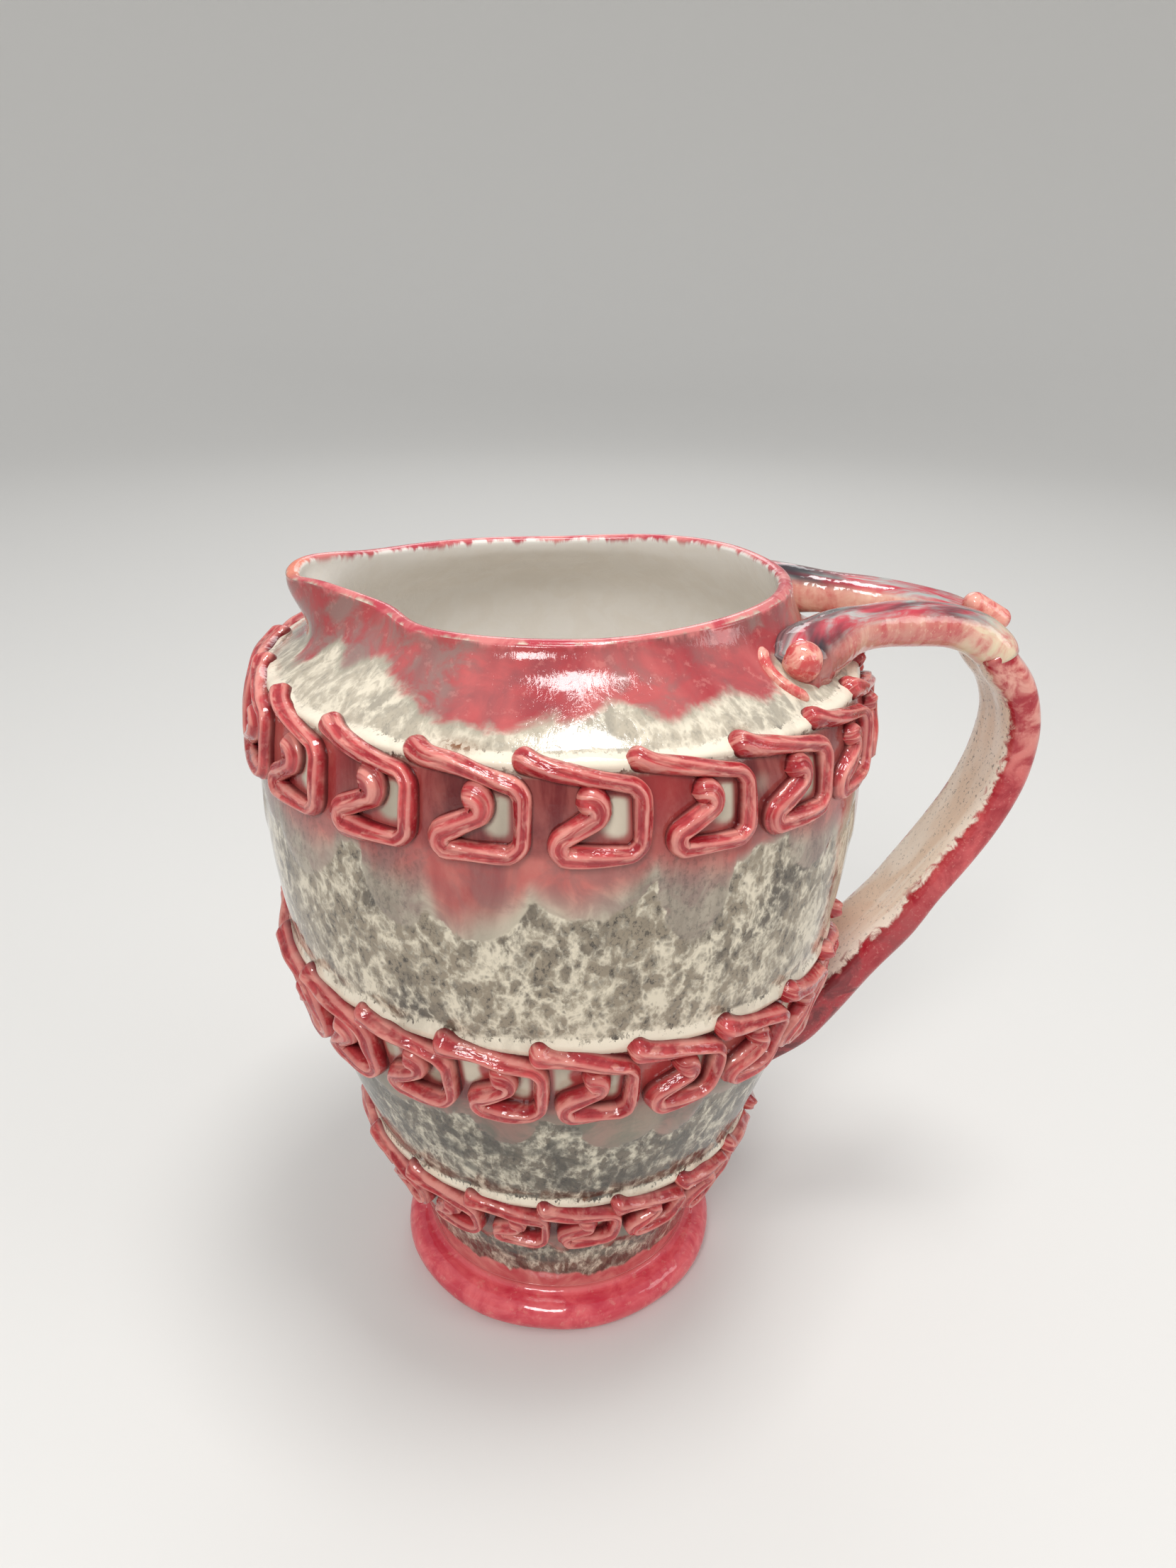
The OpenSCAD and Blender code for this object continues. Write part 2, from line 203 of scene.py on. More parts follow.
# Where the glaze has run: rounded lobes below each key, white pools above each rail, the recess between the
# strokes, and a pale pocket inside each.
height = np.repeat(rows[:, 1:2], turns, axis=1)
is_outside = np.zeros((len(rows), 1))
is_outside[outer_from:outer_to] = 1
run = np.zeros_like(height)
fall = np.zeros_like(height)
pool = np.zeros_like(height)
recess = np.zeros_like(height)
loop = np.zeros_like(height)
flow_length = np.concatenate([[0], np.cumsum(np.hypot(np.diff(rows[:, 0]), np.diff(rows[:, 1])))])
pool_widths = {"upper": 2.2, "middle": 2.8, "lower": 2.0}
run_lengths = {"upper": (13, 27), "middle": (9, 20), "lower": (5, 11)}
skirt, skirt_wander, run_softness = 5.5, 3.5, 4.5
loop_width, loop_height = 0.17, 0.3


def way_up(level):
    """How far each row lies beyond a level, in millimetres along the wall."""
    return (flow_length - np.interp(level, outer_line[:, 1], flow_length[outer_from:outer_to]))[:, None]


for name, band in bands.items():
    shortest, longest = run_lengths[name]
    start = band["line"] - band["drop"]
    step = 360 / band["count"]
    edge = start - skirt - skirt_wander * np.abs(wave(turn, 9, 40))
    for k in range(band["count"]):
        middle = band["start"] + (k + 0.85 + draw.uniform(-0.3, 0.3)) * step
        half = step * draw.uniform(0.4, 0.7)
        length = draw.uniform(shortest, longest)
        away = (azimuth - middle + 180) % 360 - 180
        edge = np.minimum(edge, start - length * np.sqrt(np.clip(1 - (away / half) ** 2, 0, 1)))
        weaker = draw.uniform(0, 1) ** 2
        for place_in_key, depth_in_key, strength in ((0.97, 0.55, 1.0), (0.36, 0.42, weaker)):
            middle = band["start"] + (k + place_in_key) * step
            away = ((azimuth - middle + 180) % 360 - 180) / step
            up_key = (height - band["line"]) / band["drop"] + depth_in_key
            pocket = np.exp(-(away / loop_width) ** 2 - (up_key / loop_height) ** 2)
            loop = np.maximum(loop, strength * pocket)
    below = (height < start + 2) & (height > start - longest - 6)
    run = np.maximum(run, smooth((height - edge) / run_softness + 0.5) * below)
    fall = np.where(below, np.maximum(fall, (start - height) / np.maximum(start - edge, 1)), fall)
    over = height - band["line"]
    up_wall = way_up(band["line"])
    pool_edge = pool_widths[name] * (1 + 0.35 * wave(turn, 5, 30))
    pool = np.maximum(pool, smooth((up_wall + 0.5) / 1.5) * (1 - smooth((up_wall - pool_edge) / 3.2)))
    recess = np.maximum(recess, smooth((height - start + 3) / 3) * (1 - smooth((over + 1.5) / 2)))
fall = np.clip(fall, 0, 1.2)


def about_axis(radius, turn, level):
    """Points in metres from a radius and a level in millimetres and an angle in radians."""
    radius, turn, level = np.broadcast_arrays(radius, turn, level)
    return np.stack([radius * np.cos(turn), radius * np.sin(turn), level], axis=-1) * mm


# The wall's skin: hand-thrown unevenness, thick lobes of glaze, and pools that lie against the cords.
across = np.gradient(rows[:, 0])
upward = np.gradient(rows[:, 1])
length = np.hypot(across, upward)
out_r = (upward / length)[:, None]
out_z = (-across / length)[:, None]
thrown_wobble, run_thickness, pool_thickness = 0.22, 0.45, 1.0
uneven = thrown_wobble * wave(turn, 2, 7)[None, :] * smooth((rows[:, 1:2] - 14) / 20)
relief = is_outside * (uneven + run_thickness * run * (0.4 + 0.6 * fall) + pool_thickness * pool ** 2)
from_lip = azimuth % 360 - 180
lip = np.exp(-(from_lip / lip_angle) ** 2)[None, :]
felt = pull(neck_share)[:, None]
radius = rows[:, 0:1] + mouth(azimuth)[None, :] * felt + relief * out_r
swell_up = lip_rise * np.exp(-(from_lip / lip_spread) ** 2) \
    - lip_droop * np.exp(-((from_lip - droop_angle) / droop_spread) ** 2)
level = rows[:, 1:2] + (swell_up + rim_tilt * smooth(np.cos(turn)))[None, :] * felt + relief * out_z
wall_points = about_axis(radius, turn, level)

cord_tree = kdtree.KDTree(sum(len(path) for paths in strokes.values() for path in paths))
number = 0
for paths in strokes.values():
    for path in paths:
        for angle, up in path:
            r = float(wall_radius(up))
            a = math.radians(angle)
            cord_tree.insert((r * math.cos(a), r * math.sin(a), up), number)
            number += 1
cord_tree.balance()
cord_away = np.full(height.shape, 30.0)
for i, k in np.argwhere((is_outside > 0) & ((recess > 0.01) | (pool > 0.01) | (run > 0.01))):
    cord_away[i, k] = cord_tree.find(wall_points[i, k] / mm)[2]

# Red with a ragged edge on the neck, the glazes of the rim and the bowl, and specks of iron
neck_length = flow_length - flow_length[outer_from + neck_start]
red_from, red_wander, red_softness = 13.5, 5.0, 15
neck_edge = red_from + red_wander * wave(turn, 3, 26)
red = smooth((neck_length[:, None] - neck_edge) / red_softness + 0.5) * is_outside
crown_length = flow_length - flow_length[outer_to + 3]
rim_mark = np.exp(-(crown_length / 2.6) ** 2)[:, None] * np.ones((1, turns))
inside = smooth((flow_length - flow_length[outer_to + 1]) / 2.5)[:, None] * np.ones((1, turns))
iron = np.zeros_like(height)
iron_marks = [(-112, 198.6, 4.2), (-115, 126.6, 1.8), (-63, 199.4, 2.0), (-141, 128.2, 1.5), (-88, 61.8, 1.6)]
for _ in range(9):
    iron_marks.append((draw.uniform(0, 175), draw.choice([198.5, 127.0, 62.0]) + draw.uniform(0, 2),
                       draw.uniform(1.2, 2.6)))
for angle, up, size in iron_marks:
    sideways = ((azimuth - angle + 180) % 360 - 180)[None, :] * math.pi / 180 * rows[:, 0:1]
    upwards = way_up(up)
    iron = np.maximum(iron, np.exp(-((sideways / size) ** 2 + (upwards / (0.45 * size)) ** 2)) * is_outside)
flow_radius = 80
flow = about_axis(flow_radius, turn, np.repeat(flow_length[:, None], turns, axis=1))


def ring_faces(count, sides, first=0):
    """Four-sided faces between neighbouring rings."""
    i, j = np.meshgrid(np.arange(count - 1), np.arange(sides), indexing="ij")
    a = first + i * sides + j
    b = first + i * sides + (j + 1) % sides
    return np.stack([a, b, b + sides, a + sides], axis=-1).reshape(-1, 4).tolist()


def closed_faces(count, sides, first=0):
    """The faces of a run of rings with both of its ends closed."""
    last = first + (count - 1) * sides
    ends = [list(range(first, first + sides))[::-1], list(range(last, last + sides))]
    return ring_faces(count, sides, first) + ends


def clay_piece(name, points, faces, marks):
    """A smooth mesh with a value or vector for each of its marks."""
    mesh = bpy.data.meshes.new(name)
    mesh.from_pydata(np.asarray(points, float).reshape(-1, 3).tolist(), [], faces)
    for label, values in marks.items():
        values = np.asarray(values, np.float32)
        kind = "FLOAT_VECTOR" if values.shape[-1] == 3 and values.ndim > 1 else "FLOAT"
        layer = mesh.attributes.new(label, kind, "POINT")
        layer.data.foreach_set("vector" if kind == "FLOAT_VECTOR" else "value", values.ravel())
    mesh.polygons.foreach_set("use_smooth", np.ones(len(mesh.polygons), bool))
    mesh.update()
    piece = bpy.data.objects.new(name, mesh)
    bpy.context.scene.collection.objects.link(piece)
    return piece


# Painted shade: below about 118 mm the lower belly is painted darker, in place of the top light falling off.
painted_shade_top, painted_shade_softness = 118, 20
bottom_height, bottom_softness = 25, 10
painted_shade_low = smooth((painted_shade_top - height) / painted_shade_softness)
bottom = smooth((bottom_height - height) / bottom_softness) * is_outside
jug_wall = clay_piece("jug_wall", wall_points, closed_faces(len(rows), turns), {
    "run": run.ravel(), "fall": fall.ravel(), "pool": pool.ravel(), "recess": recess.ravel(),
    "painted_shade_low": painted_shade_low.ravel(), "bottom": bottom.ravel(),
    "loop": loop.ravel(), "up_neck": np.repeat(neck_length, turns),
    "cord_away": cord_away.ravel(), "red": red.ravel(), "rim_mark": rim_mark.ravel(),
    "inside": inside.ravel(), "iron": iron.ravel(), "lip": (lip * felt).ravel(),
    "flow": flow.reshape(-1, 3)})


def tint(red_part, green_part, blue_part):
    """A colour as seen, 0 to 255, in the linear values that a shader takes."""
    parts = [c / 255 for c in (red_part, green_part, blue_part)]
    return tuple(c / 12.92 if c <= 0.04045 else ((c + 0.055) / 1.055) ** 2.4 for c in parts) + (1.0,)


def put(tree, kind, inputs=(), **traits):
    """Adds one shader node. An input takes a plain value or another node's output."""
    node = tree.nodes.new("ShaderNode" + kind)
    for trait, value in traits.items():
        setattr(node, trait, value)
    for socket, value in dict(inputs).items():
        if isinstance(value, bpy.types.NodeSocket):
            tree.links.new(value, node.inputs[socket])
        else:
            node.inputs[socket].default_value = value
    return node


def work(tree, step, first, second):
    """One step of arithmetic on two values."""
    return put(tree, "Math", {0: first, 1: second}, operation=step).outputs["Value"]


def times(tree, first, second):
    return work(tree, "MULTIPLY", first, second)


def add_share(tree, part, share, base):
    """The base plus a share of another value."""
    return put(tree, "Math", {0: part, 1: share, 2: base}, operation="MULTIPLY_ADD").outputs["Value"]


def noise(tree, place, scale, detail, roughness=0.5, distortion=0.0):
    """A cloudy value between 0 and 1."""
    return put(tree, "TexNoise", {"Vector": place, "Scale": scale, "Detail": detail, "Roughness": roughness,
                                  "Distortion": distortion}).outputs["Fac"]


def lay(tree, mask, under, over, share=None):
    """One glaze over another where the mask, or a share of it, shows it."""
    if share is not None:
        mask = times(tree, mask, share)
    return put(tree, "Mix", {0: mask, 6: under, 7: over}, data_type="RGBA").outputs[2]


def mark(tree, name, part="Fac"):
    """A mark of the piece's own mesh, as a value or as a vector."""
    return put(tree, "Attribute", attribute_name=name).outputs[part]


def stretched(tree, way, amounts):
    """A place or a way drawn out by its own amount along each axis."""
    return put(tree, "VectorMath", {0: way, 1: amounts}, operation="MULTIPLY").outputs[0]


def between(tree, value, low, high, to_low=0.0, to_high=1.0):
    """A soft step from one value to another."""
    return put(tree, "MapRange", {"Value": value, "From Min": low, "From Max": high, "To Min": to_low,
                                  "To Max": to_high}, interpolation_type="SMOOTHSTEP").outputs["Result"]


def effect(name, inputs, outputs):
    """An empty group for an effect that several glazes share."""
    group = bpy.data.node_groups.new(name, "ShaderNodeTree")
    for label, kind, value in inputs:
        socket = group.interface.new_socket(label, in_out="INPUT", socket_type="NodeSocket" + kind)
        if value is not None:
            socket.default_value = value
    for label in outputs:
        group.interface.new_socket(label, in_out="OUTPUT", socket_type="NodeSocketFloat")
    return group, group.nodes.new("NodeGroupInput").outputs, group.nodes.new("NodeGroupOutput").inputs


# Streaks that a running glaze leaves along its way
streaks, given, result = effect("glaze streaks", [("Way", "Vector", None), ("Fineness", "Float", 120.0),
                                                  ("Stretch", "Float", 0.2)], ["Streak", "Smear", "Drift"])
squeezed = put(streaks, "CombineXYZ", {"X": 1.0, "Y": 1.0, "Z": given["Stretch"]}).outputs[0]
way = stretched(streaks, given["Way"], squeezed)
thread = noise(streaks, way, given["Fineness"], 5.0, 0.6, 0.6)
streaks.links.new(between(streaks, thread, 0.36, 0.64), result["Streak"])
broad = times(streaks, given["Fineness"], 0.33)
smear = noise(streaks, way, broad, 3.0, distortion=1.0)
streaks.links.new(between(streaks, smear, 0.4, 0.6), result["Smear"])
streaks.links.new(between(streaks, smear, 0.25, 0.75), result["Drift"])

# Lace of white glaze that has crawled into a net over a grey body
lace, given, result = effect("glaze lace", [("Place", "Vector", None), ("Fineness", "Float", 190.0)],
                             ["Net", "Speck", "Blotch"])
stir = put(lace, "TexNoise", {"Vector": given["Place"], "Scale": 160.0, "Detail": 3.0}).outputs["Color"]
stirred = put(lace, "VectorMath", {0: stir, 1: (0.0065, 0.0065, 0.0065), 2: given["Place"]},
              operation="MULTIPLY_ADD").outputs[0]
finer = times(lace, given["Fineness"], 2.2)
cell, small_cell = (
    put(lace, "TexVoronoi", {"Vector": stirred, "Scale": fineness}, feature="F1").outputs["Distance"]
    for fineness in (given["Fineness"], finer))
patch = noise(lace, given["Place"], 75.0, 3.0, 0.6)
grain = noise(lace, given["Place"], 820.0, 3.0, 0.7)
crawl = noise(lace, stirred, 330.0, 4.0, 0.6)
uneven_cell = add_share(lace, patch, 0.75, times(lace, cell, 0.55))
uneven_cell = add_share(lace, crawl, 1.0, uneven_cell)
uneven_cell = add_share(lace, grain, 0.7, uneven_cell)
big_spot = between(lace, uneven_cell, 1.36, 1.78, 1.0, 0.0)
uneven_small = add_share(lace, patch, 0.9, small_cell)
small_spot = between(lace, uneven_small, 0.6, 1.1, 0.7, 0.0)
lace.links.new(work(lace, "SUBTRACT", 1.0, work(lace, "MAXIMUM", big_spot, small_spot)), result["Net"])
lace.links.new(between(lace, grain, 0.46, 0.66), result["Speck"])
cloud = noise(lace, stirred, 60.0, 5.0, 0.65)
lace.links.new(between(lace, cloud, 0.48, 0.66), result["Blotch"])

# Skin of a thick fired glaze: slow swells, small pits, and a gloss that varies a little
skin, given, result = effect("glaze skin", [("Place", "Vector", None), ("Swell", "Float", 140.0)],
                             ["Height", "Gloss"])
swell = noise(skin, given["Place"], given["Swell"], 2.0)
quick = times(skin, given["Swell"], 7.0)
pits = noise(skin, given["Place"], quick, 2.0)
skin.links.new(add_share(skin, pits, 0.045, swell), result["Height"])
skin.links.new(between(skin, swell, 0.35, 0.7, 0.045, 0.12), result["Gloss"])

# Mottling in soft clouds
mottle, given, result = effect("glaze mottle", [("Place", "Vector", None), ("Fineness", "Float", 150.0)],
                               ["Cloud", "Fleck", "Haze"])
mist = noise(mottle, given["Place"], given["Fineness"], 4.0, 0.6, 0.8)
mottle.links.new(between(mottle, mist, 0.4, 0.62), result["Cloud"])
mottle.links.new(between(mottle, mist, 0.3, 0.72), result["Haze"])
quick = times(mottle, given["Fineness"], 3.6)
dots = noise(mottle, given["Place"], quick, 3.0, 0.7)
mottle.links.new(between(mottle, dots, 0.56, 0.68), result["Fleck"])


def use(tree, group, **values):
    """Places a shared effect in a material, with that material's own values."""
    return put(tree, "Group", values, node_tree=group).outputs


def glazed(name):
    """A new glossy glaze. It gives the node tree, the shader and the place on the piece."""
    finish = bpy.data.materials.new(name)
    finish.use_nodes = True
    tree = finish.node_tree
    shader = tree.nodes["Principled BSDF"]
    shader.inputs["IOR"].default_value = 1.54
    place = put(tree, "TexCoord").outputs["Object"]
    return finish, tree, shader, place


def close(tree, shader, colour, gloss, relief_height, depth):
    """Joins a glaze's colour, gloss and relief to its shader."""
    tree.links.new(colour, shader.inputs["Base Color"])
    tree.links.new(gloss, shader.inputs["Roughness"])
    bump = put(tree, "Bump", {"Height": relief_height, "Strength": 0.55, "Distance": depth})
    tree.links.new(bump.outputs["Normal"], shader.inputs["Normal"])


salmon = tint(228, 150, 138)
oxblood = tint(92, 24, 28)
mauve = tint(128, 92, 90)
cream = tint(229, 219, 198)
lace_white = tint(223, 212, 190)
lace_grey = tint(146, 133, 114)
smoke = tint(54, 47, 42)
chalk = tint(237, 226, 205)
rust = tint(122, 70, 30)
peach = tint(226, 132, 92)

wall_glaze, tree, shader, place = glazed("run and laced glaze")
way = mark(tree, "flow", "Vector")
drawn_place = stretched(tree, way, (1.0, 1.0, 0.75))
net = use(tree, lace, Place=drawn_place, Fineness=290.0)
fine = use(tree, streaks, Way=way, Fineness=130.0, Stretch=0.3)
wide = use(tree, streaks, Way=way, Fineness=70.0, Stretch=0.4)
mist = use(tree, mottle, Place=place, Fineness=95.0)
face = use(tree, skin, Place=place, Swell=70.0)


def broken_edge(cloud_mask, edge_mark, wander=0.72):
    """A mask whose edge wanders with a cloudy mask, and that stays inside its mark."""
    moved = add_share(tree, cloud_mask, -wander, edge_mark)
    return between(tree, moved, 0.02, 1.0 - wander)


grains = lay(tree, net["Speck"], lace_grey, smoke, 0.9)
grains = lay(tree, net["Blotch"], grains, smoke, 0.7)
# Painted shade: towards the bottom the lace specks, the lace white and the body are painted darker, in soft
# clouds.
painted_shade_low = mark(tree, "painted_shade_low")
grains = lay(tree, painted_shade_low, grains, tint(60, 56, 48), 0.5)
lace_white_shaded = lay(tree, painted_shade_low, lace_white, tint(186, 184, 166), 0.35)
body = lay(tree, net["Net"], grains, lace_white_shaded)
shade_clouds = times(tree, mist["Cloud"], 0.72)
body = lay(tree, painted_shade_low, body, tint(54, 52, 45), shade_clouds)
on_shoulder = between(tree, mark(tree, "up_neck"), 0.0, 4.0, 0.0, 0.4)
body = lay(tree, on_shoulder, body, cream)
run_mask = broken_edge(mist["Cloud"], mark(tree, "run"), 0.6)
fall_now = add_share(tree, wide["Drift"], 0.7, mark(tree, "fall"))
run_red = lay(tree, fine["Drift"], tint(150, 44, 48), tint(202, 106, 98))
run_red = lay(tree, fine["Streak"], run_red, tint(212, 140, 126), 0.3)
run_tail = lay(tree, fine["Drift"], tint(140, 130, 114), tint(206, 194, 172))
run_tail = lay(tree, wide["Smear"], run_tail, tint(112, 98, 88), 0.6)
run_tail = lay(tree, fine["Streak"], run_tail, tint(216, 204, 184), 0.35)
run_colour = lay(tree, between(tree, fall_now, 0.6, 1.2), run_red, run_tail)
run_colour = lay(tree, mist["Cloud"], run_colour, mauve, 0.5)
dark_smears = times(tree, wide["Smear"], 0.35)
run_colour = lay(tree, net["Speck"], run_colour, smoke, dark_smears)
# Low on the belly the runs turn grey-green and darker: partly their own grey-green glaze, partly painted
# shade.
low_run_grey_and_shade = lay(tree, mist["Haze"], tint(150, 108, 98), tint(86, 88, 76))
low_run_grey_and_shade = lay(tree, wide["Smear"], low_run_grey_and_shade, tint(142, 142, 122), 0.5)
run_colour = lay(tree, painted_shade_low, run_colour, low_run_grey_and_shade, 0.85)
body = lay(tree, run_mask, body, run_colour)
clear_of_cords = between(tree, mark(tree, "cord_away"), 2.2, 3.8)
pocket = lay(tree, fine["Drift"], tint(168, 158, 140), tint(222, 212, 190))
by_cords = lay(tree, wide["Drift"], oxblood, tint(172, 58, 58))
by_cords = lay(tree, fine["Streak"], by_cords, tint(196, 110, 100), 0.4)
# Painted shade: lower down, the red between the cords is painted darker.
by_cords = lay(tree, painted_shade_low, by_cords, tint(58, 20, 22), 0.6)
pocket_mask = times(tree, clear_of_cords, between(tree, mark(tree, "loop"), 0.2, 0.6))
recess_colour = lay(tree, pocket_mask, by_cords, pocket)
body = lay(tree, mark(tree, "recess"), body, recess_colour)
pool_mask = broken_edge(net["Speck"], mark(tree, "pool"), 0.6)
pool_colour = lay(tree, net["Blotch"], chalk, lace_grey, 0.35)
body = lay(tree, pool_mask, body, pool_colour)
neck_cloud = times(tree, work(tree, "ADD", wide["Drift"], mist["Haze"]), 0.5)
neck_moved = add_share(tree, neck_cloud, -0.7, mark(tree, "red"))
red_mask = between(tree, neck_moved, 0.0, 0.42)
fringe_mask = between(tree, neck_moved, -0.18, 0.1)
fringe_clouds = times(tree, mist["Cloud"], 0.6)
body = lay(tree, fringe_mask, body, tint(148, 143, 126), fringe_clouds)
neck_red = lay(tree, fine["Drift"], tint(160, 44, 52), tint(196, 96, 94))
neck_red = lay(tree, mist["Haze"], neck_red, tint(122, 74, 76), 0.6)
neck_red = lay(tree, mist["Fleck"], neck_red, tint(216, 138, 130), 0.3)
grey_clouds = times(tree, mist["Cloud"], 0.5)
neck_red = lay(tree, wide["Smear"], neck_red, tint(142, 136, 126), grey_clouds)
body = lay(tree, red_mask, body, neck_red)
foot_pink = lay(tree, mist["Haze"], tint(196, 84, 88), tint(222, 140, 132))
body = lay(tree, broken_edge(fine["Drift"], mark(tree, "bottom")), body, foot_pink)
iron_mask = times(tree, mark(tree, "iron"), between(tree, net["Speck"], 0.0, 0.6, 0.5, 1.0))
body = lay(tree, iron_mask, body, rust)
# Painted light: the bowl's cream glaze is painted near white, lighter than it is, in place of the light that
# barely reaches inside.
bowl_painted_light = lay(tree, mist["Cloud"], tint(250, 245, 237), tint(241, 232, 219), 0.3)
body = lay(tree, broken_edge(fine["Streak"], mark(tree, "inside")), body, bowl_painted_light)
rim_mask = broken_edge(fine["Streak"], mark(tree, "rim_mark"), 0.5)
rim_colour = lay(tree, mist["Cloud"], tint(186, 62, 74), tint(216, 128, 124))
lip_mask = between(tree, mark(tree, "lip"), 0.75, 1.0, 0.0, 0.65)
rim_colour = lay(tree, lip_mask, rim_colour, peach)
body = lay(tree, rim_mask, body, rim_colour)
raised = add_share(tree, net["Net"], 0.12, face["Height"])
close(tree, shader, body, face["Gloss"], raised, 0.0004)
jug_wall.data.materials.append(wall_glaze)
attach(jug_wall, "root")
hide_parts("body_wall", "shoulder_collar")

# The foot: a roll of clay laid round the base and smoothed on to the wall, with a groove above it.
# It is stoneware under a thick pink-red glaze that has run down and pooled on it.
foot_radius, foot_roll = 48.9, 5.3
foot_turns = 240
foot_angle = np.linspace(-math.pi, math.pi, foot_turns, endpoint=False)
bend_angles = np.radians(np.linspace(-75, 100, 26))
roll_line = foot_roll * np.column_stack([np.cos(bend_angles), np.sin(bend_angles)])
foot_line = np.vstack([
    [[base_radius + 0.15, 0.0], [base_radius + 4, 0.0]],
    roll_line + [foot_radius - foot_roll, foot_roll],
    cubic((42.2, 10.9), (41.3, 11.3), (41.2, 12.0), (41.9, 13.4), 7),
    [[base_radius + 0.15, 12.4]]])
foot_line[2, 1] = max(foot_line[2, 1], 0.0)
hand_laid = 1 + 0.006 * wave(foot_angle, 2, 9)[None, :] * smooth((foot_line[:, 0:1] - 40) / 6)
foot_reach = foot_line[:, 0:1] * hand_laid
foot_points = about_axis(foot_reach, foot_angle, foot_line[:, 1:2])
foot_faces = ring_faces(len(foot_line), foot_turns)
last_ring = (len(foot_line) - 1) * foot_turns
for j in range(foot_turns):
    beside = (j + 1) % foot_turns
    foot_faces.append([last_ring + j, last_ring + beside, beside, j])
foot_piece = clay_piece("foot_roll", foot_points, foot_faces, {"up": np.repeat(foot_line[:, 1], foot_turns)})
foot_glaze, tree, shader, place = glazed("pooled pink-red glaze")
cloud = use(tree, mottle, Place=place, Fineness=95.0)
face = use(tree, skin, Place=place, Swell=150.0)
foot_colour = lay(tree, cloud["Haze"], tint(204, 56, 74), tint(236, 110, 114))
foot_colour = lay(tree, cloud["Fleck"], foot_colour, salmon, 0.35)
in_groove = between(tree, mark(tree, "up"), 10.4, 12.5, 0.0, 0.7)
foot_colour = lay(tree, in_groove, foot_colour, tint(206, 116, 112))
close(tree, shader, foot_colour, face["Gloss"], face["Height"], 0.0008)
foot_piece.data.materials.append(foot_glaze)
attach(foot_piece, "root")
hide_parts("foot_ring")


# The three bands of running keys: cords of thick slip, each trailed on to the wall in one stroke.
# A stroke starts with a blob on the rail, falls, turns back along the bottom, folds at the hairpin and
# ends in a hook under the rail. The tip of the trailer leaves fine ribs along the cord.
cord_sunk, rib_count, rib_height = 0.9, 6, 0.1


def trailed_cord(path, width, proud, lift, index, knob=0.42):
    """Rings of one cord lying on the wall, with the way along it, its ribs and its crest."""
    angle, up = path[:, 0], path[:, 1]
    stretch = wall_radius(up) * math.pi / 180
    step = np.column_stack([np.gradient(angle) * stretch, np.gradient(up)])
    step /= np.linalg.norm(step, axis=1)[:, None]
    gone = np.concatenate([[0], np.cumsum(np.hypot(np.diff(angle) * stretch[1:], np.diff(up)))])
    left = gone[-1] - gone
    near_end = np.clip(np.minimum(gone, left) / (0.62 * width), 0, 1)
    size = np.sqrt(np.clip(1 - (1 - near_end) ** 2, 0.01, 1))
    swollen_ends = np.exp(-((gone / width - 0.45) / 0.6) ** 2) + np.exp(-((left / width - 0.45) / 0.6) ** 2)
    hand = 1 + 0.06 * np.sin(gone * draw.uniform(0.25, 0.45) + draw.uniform(0, 6))
    low = (size * hand * (1 + 0.1 * swollen_ends))[:, None]
    taper_at = [0, 0.15, 0.38, 0.52, 0.64, 0.72, 0.86, 1]
    taper = np.interp(gone / gone[-1], taper_at, [1, 0.86, 0.8, 0.82, 0.95, 1.12, 1.1, 1.05])
    size = (size * hand * taper * (1 + knob * swollen_ends))[:, None]
    section = np.linspace(0, math.pi, 15)[None, :]
    rib = np.cos(rib_count * section + 0.12 * gone[:, None] + draw.uniform(0, 6)) * near_end[:, None]
    ribs = 1 + rib_height * rib
    side = np.cos(section) * width / 2 * size
    out = np.sin(section) ** 0.9 * 1.05 * proud * low * ribs + lift
    foot_side = np.array([[-0.4, 0.4]]) * width * size
    side = np.hstack([side, foot_side])
    out = np.hstack([out, np.full_like(foot_side, -cord_sunk)])
    crest = np.hstack([np.repeat(np.sin(section), len(path), axis=0), np.zeros((len(path), 2))])
    rib = np.hstack([rib, np.zeros((len(path), 2))])
    slope = (wall_reach(up + 0.6, angle) - wall_reach(up - 0.6, angle)) / 1.2
    lean = (1 / np.sqrt(1 + slope ** 2))[:, None]
    laid_at = up[:, None] - step[:, 0:1] * side * lean
    height_now = laid_at - out * slope[:, None] * lean
    turn_now = np.radians(angle[:, None] + step[:, 1:2] * side / stretch[:, None])
    reach = wall_reach(laid_at, np.degrees(turn_now)) + out * lean
    way_along = np.stack([np.repeat(gone[:, None], side.shape[1], axis=1) * mm, side * mm,
                          np.full_like(side, 0.037 * index)], axis=-1)
    return about_axis(reach, turn_now, height_now), way_along, crest, rib


key_glaze, tree, shader, place = glazed("trailed red glaze")
ribbed = stretched(tree, mark(tree, "stroke", "Vector"), (0.22, 1.0, 1.0))
rib = noise(tree, ribbed, 780.0, 3.0, distortion=0.4)
cloud = use(tree, mottle, Place=place, Fineness=130.0)
face = use(tree, skin, Place=place, Swell=210.0)
key_colour = lay(tree, cloud["Haze"], tint(156, 30, 40), tint(204, 80, 80))
key_colour = lay(tree, between(tree, rib, 0.47, 0.66, 0.0, 0.8), key_colour, tint(228, 152, 138))
on_ribs = between(tree, mark(tree, "rib"), 0.0, 1.0, 0.0, 0.65)
key_colour = lay(tree, on_ribs, key_colour, tint(226, 150, 138))
between_ribs = between(tree, mark(tree, "rib"), -0.2, -1.0, 0.0, 0.5)
key_colour = lay(tree, between_ribs, key_colour, tint(136, 26, 36))
key_colour = lay(tree, cloud["Fleck"], key_colour, tint(236, 190, 172), 0.12)
# Painted shade: each cord's sides are darkened to oxblood down to its foot, in the groove where it meets the
# wall.
key_colour = lay(tree, between(tree, mark(tree, "crest"), 0.5, 0.05, 0.0, 0.9), key_colour, oxblood)
ribbing = add_share(tree, rib, 0.8, face["Height"])
close(tree, shader, key_colour, face["Gloss"], ribbing, 0.0011)

